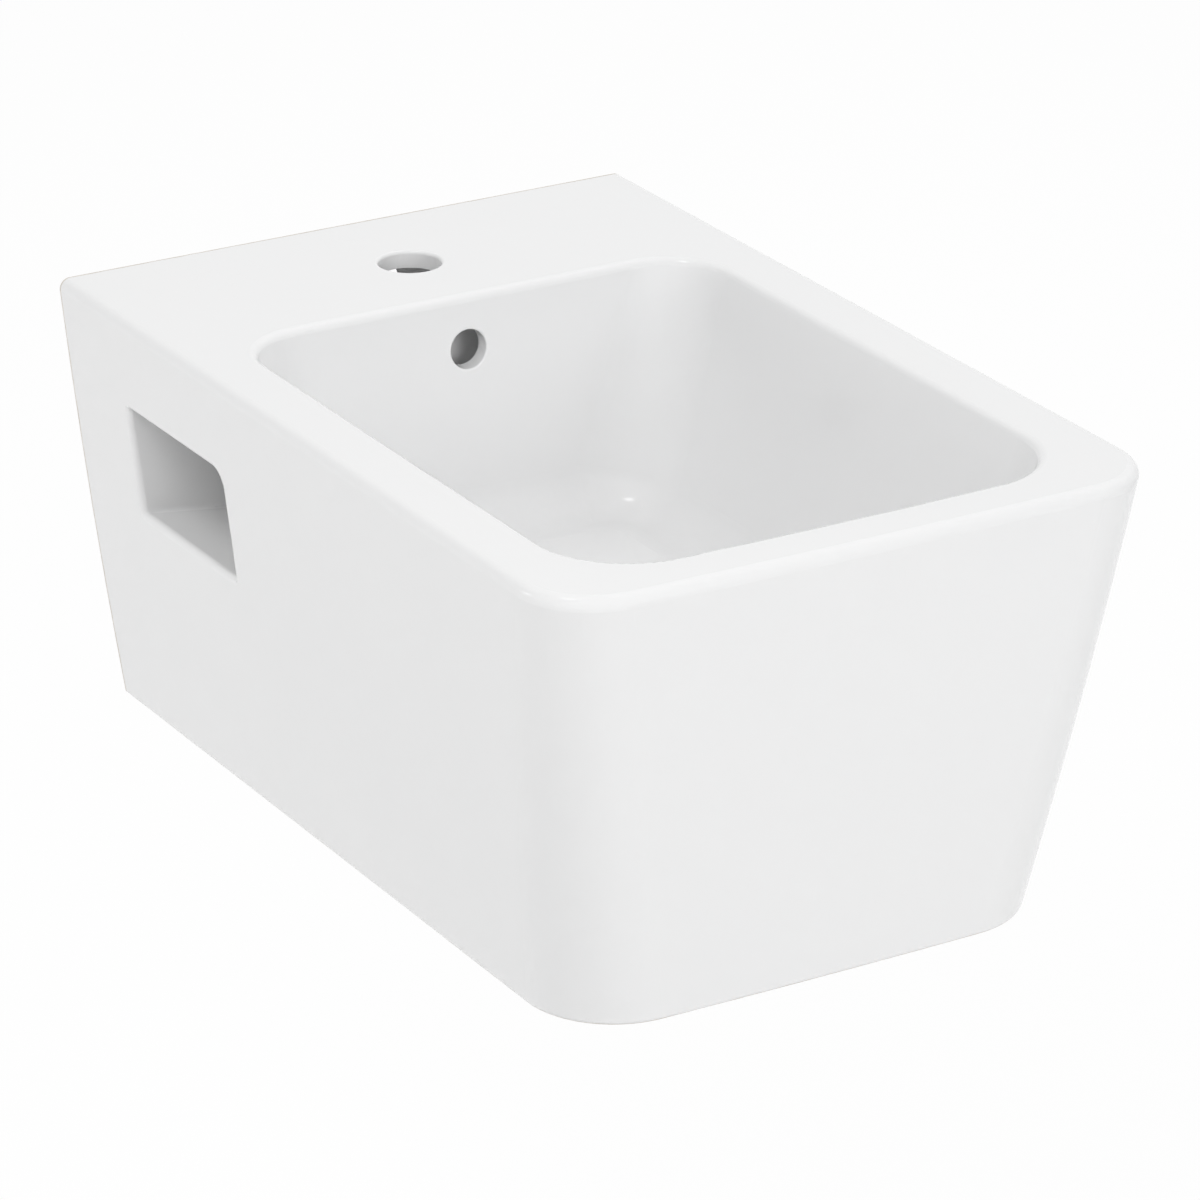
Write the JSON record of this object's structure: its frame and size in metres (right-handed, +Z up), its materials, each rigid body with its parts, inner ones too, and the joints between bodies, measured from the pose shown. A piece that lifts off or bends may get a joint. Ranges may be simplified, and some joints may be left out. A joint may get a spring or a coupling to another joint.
{
  "type": "wall-hung bidet",
  "caption": "Wall-hung ceramic bidet: tapered hollow body with open basin, overflow, tap hole and side service windows, with wall studs and a push-open waste.",
  "frame": {"origin": "on the wall plane, midway between the two wall studs", "axes": "+Y into the wall, +Z up, X across; the front of the bidet is towards -Y"},
  "size_m": [0.3588, 0.597, 0.255],
  "materials": {
    "glaze": "glossy white glaze",
    "zinc_steel": "zinc plated",
    "bush_plastic": "natural white polyamide",
    "cover_plastic": "glossy white",
    "chrome": "polished chrome on brass",
    "seal_rubber": "black rubber",
    "brass": "turned brass",
    "spring_steel": "drawn stainless wire",
    "carrier_plastic": "dark moulded plastic"
  },
  "bodies": {
    "bidet": {"ceramic_body": "glaze", "wall_studs": "zinc_steel", "stud_bushes": "bush_plastic", "stud_washers": "zinc_steel", "stud_nuts": "zinc_steel", "stud_caps": "cover_plastic", "waste_body": "chrome", "flange_seal": "seal_rubber", "lower_seal": "seal_rubber", "slip_washer": "bush_plastic", "back_nut": "brass", "cartridge_sleeve": "brass", "cartridge_end": "brass", "cartridge_spring": "spring_steel"},
    "plug": {"plug_stem": "brass", "plug_carrier": "carrier_plastic", "plug_seal": "seal_rubber", "plug_cap": "chrome"}
  },
  "joints": [
    {"name": "plug_slide", "type": "slide", "parent": "bidet", "child": "plug", "axis": [0, 0, 1], "range_m": [-0.009, 0], "stiffness_N_per_m": 500, "springref_m": 0.016, "deforming": ["cartridge_spring"]}
  ]
}
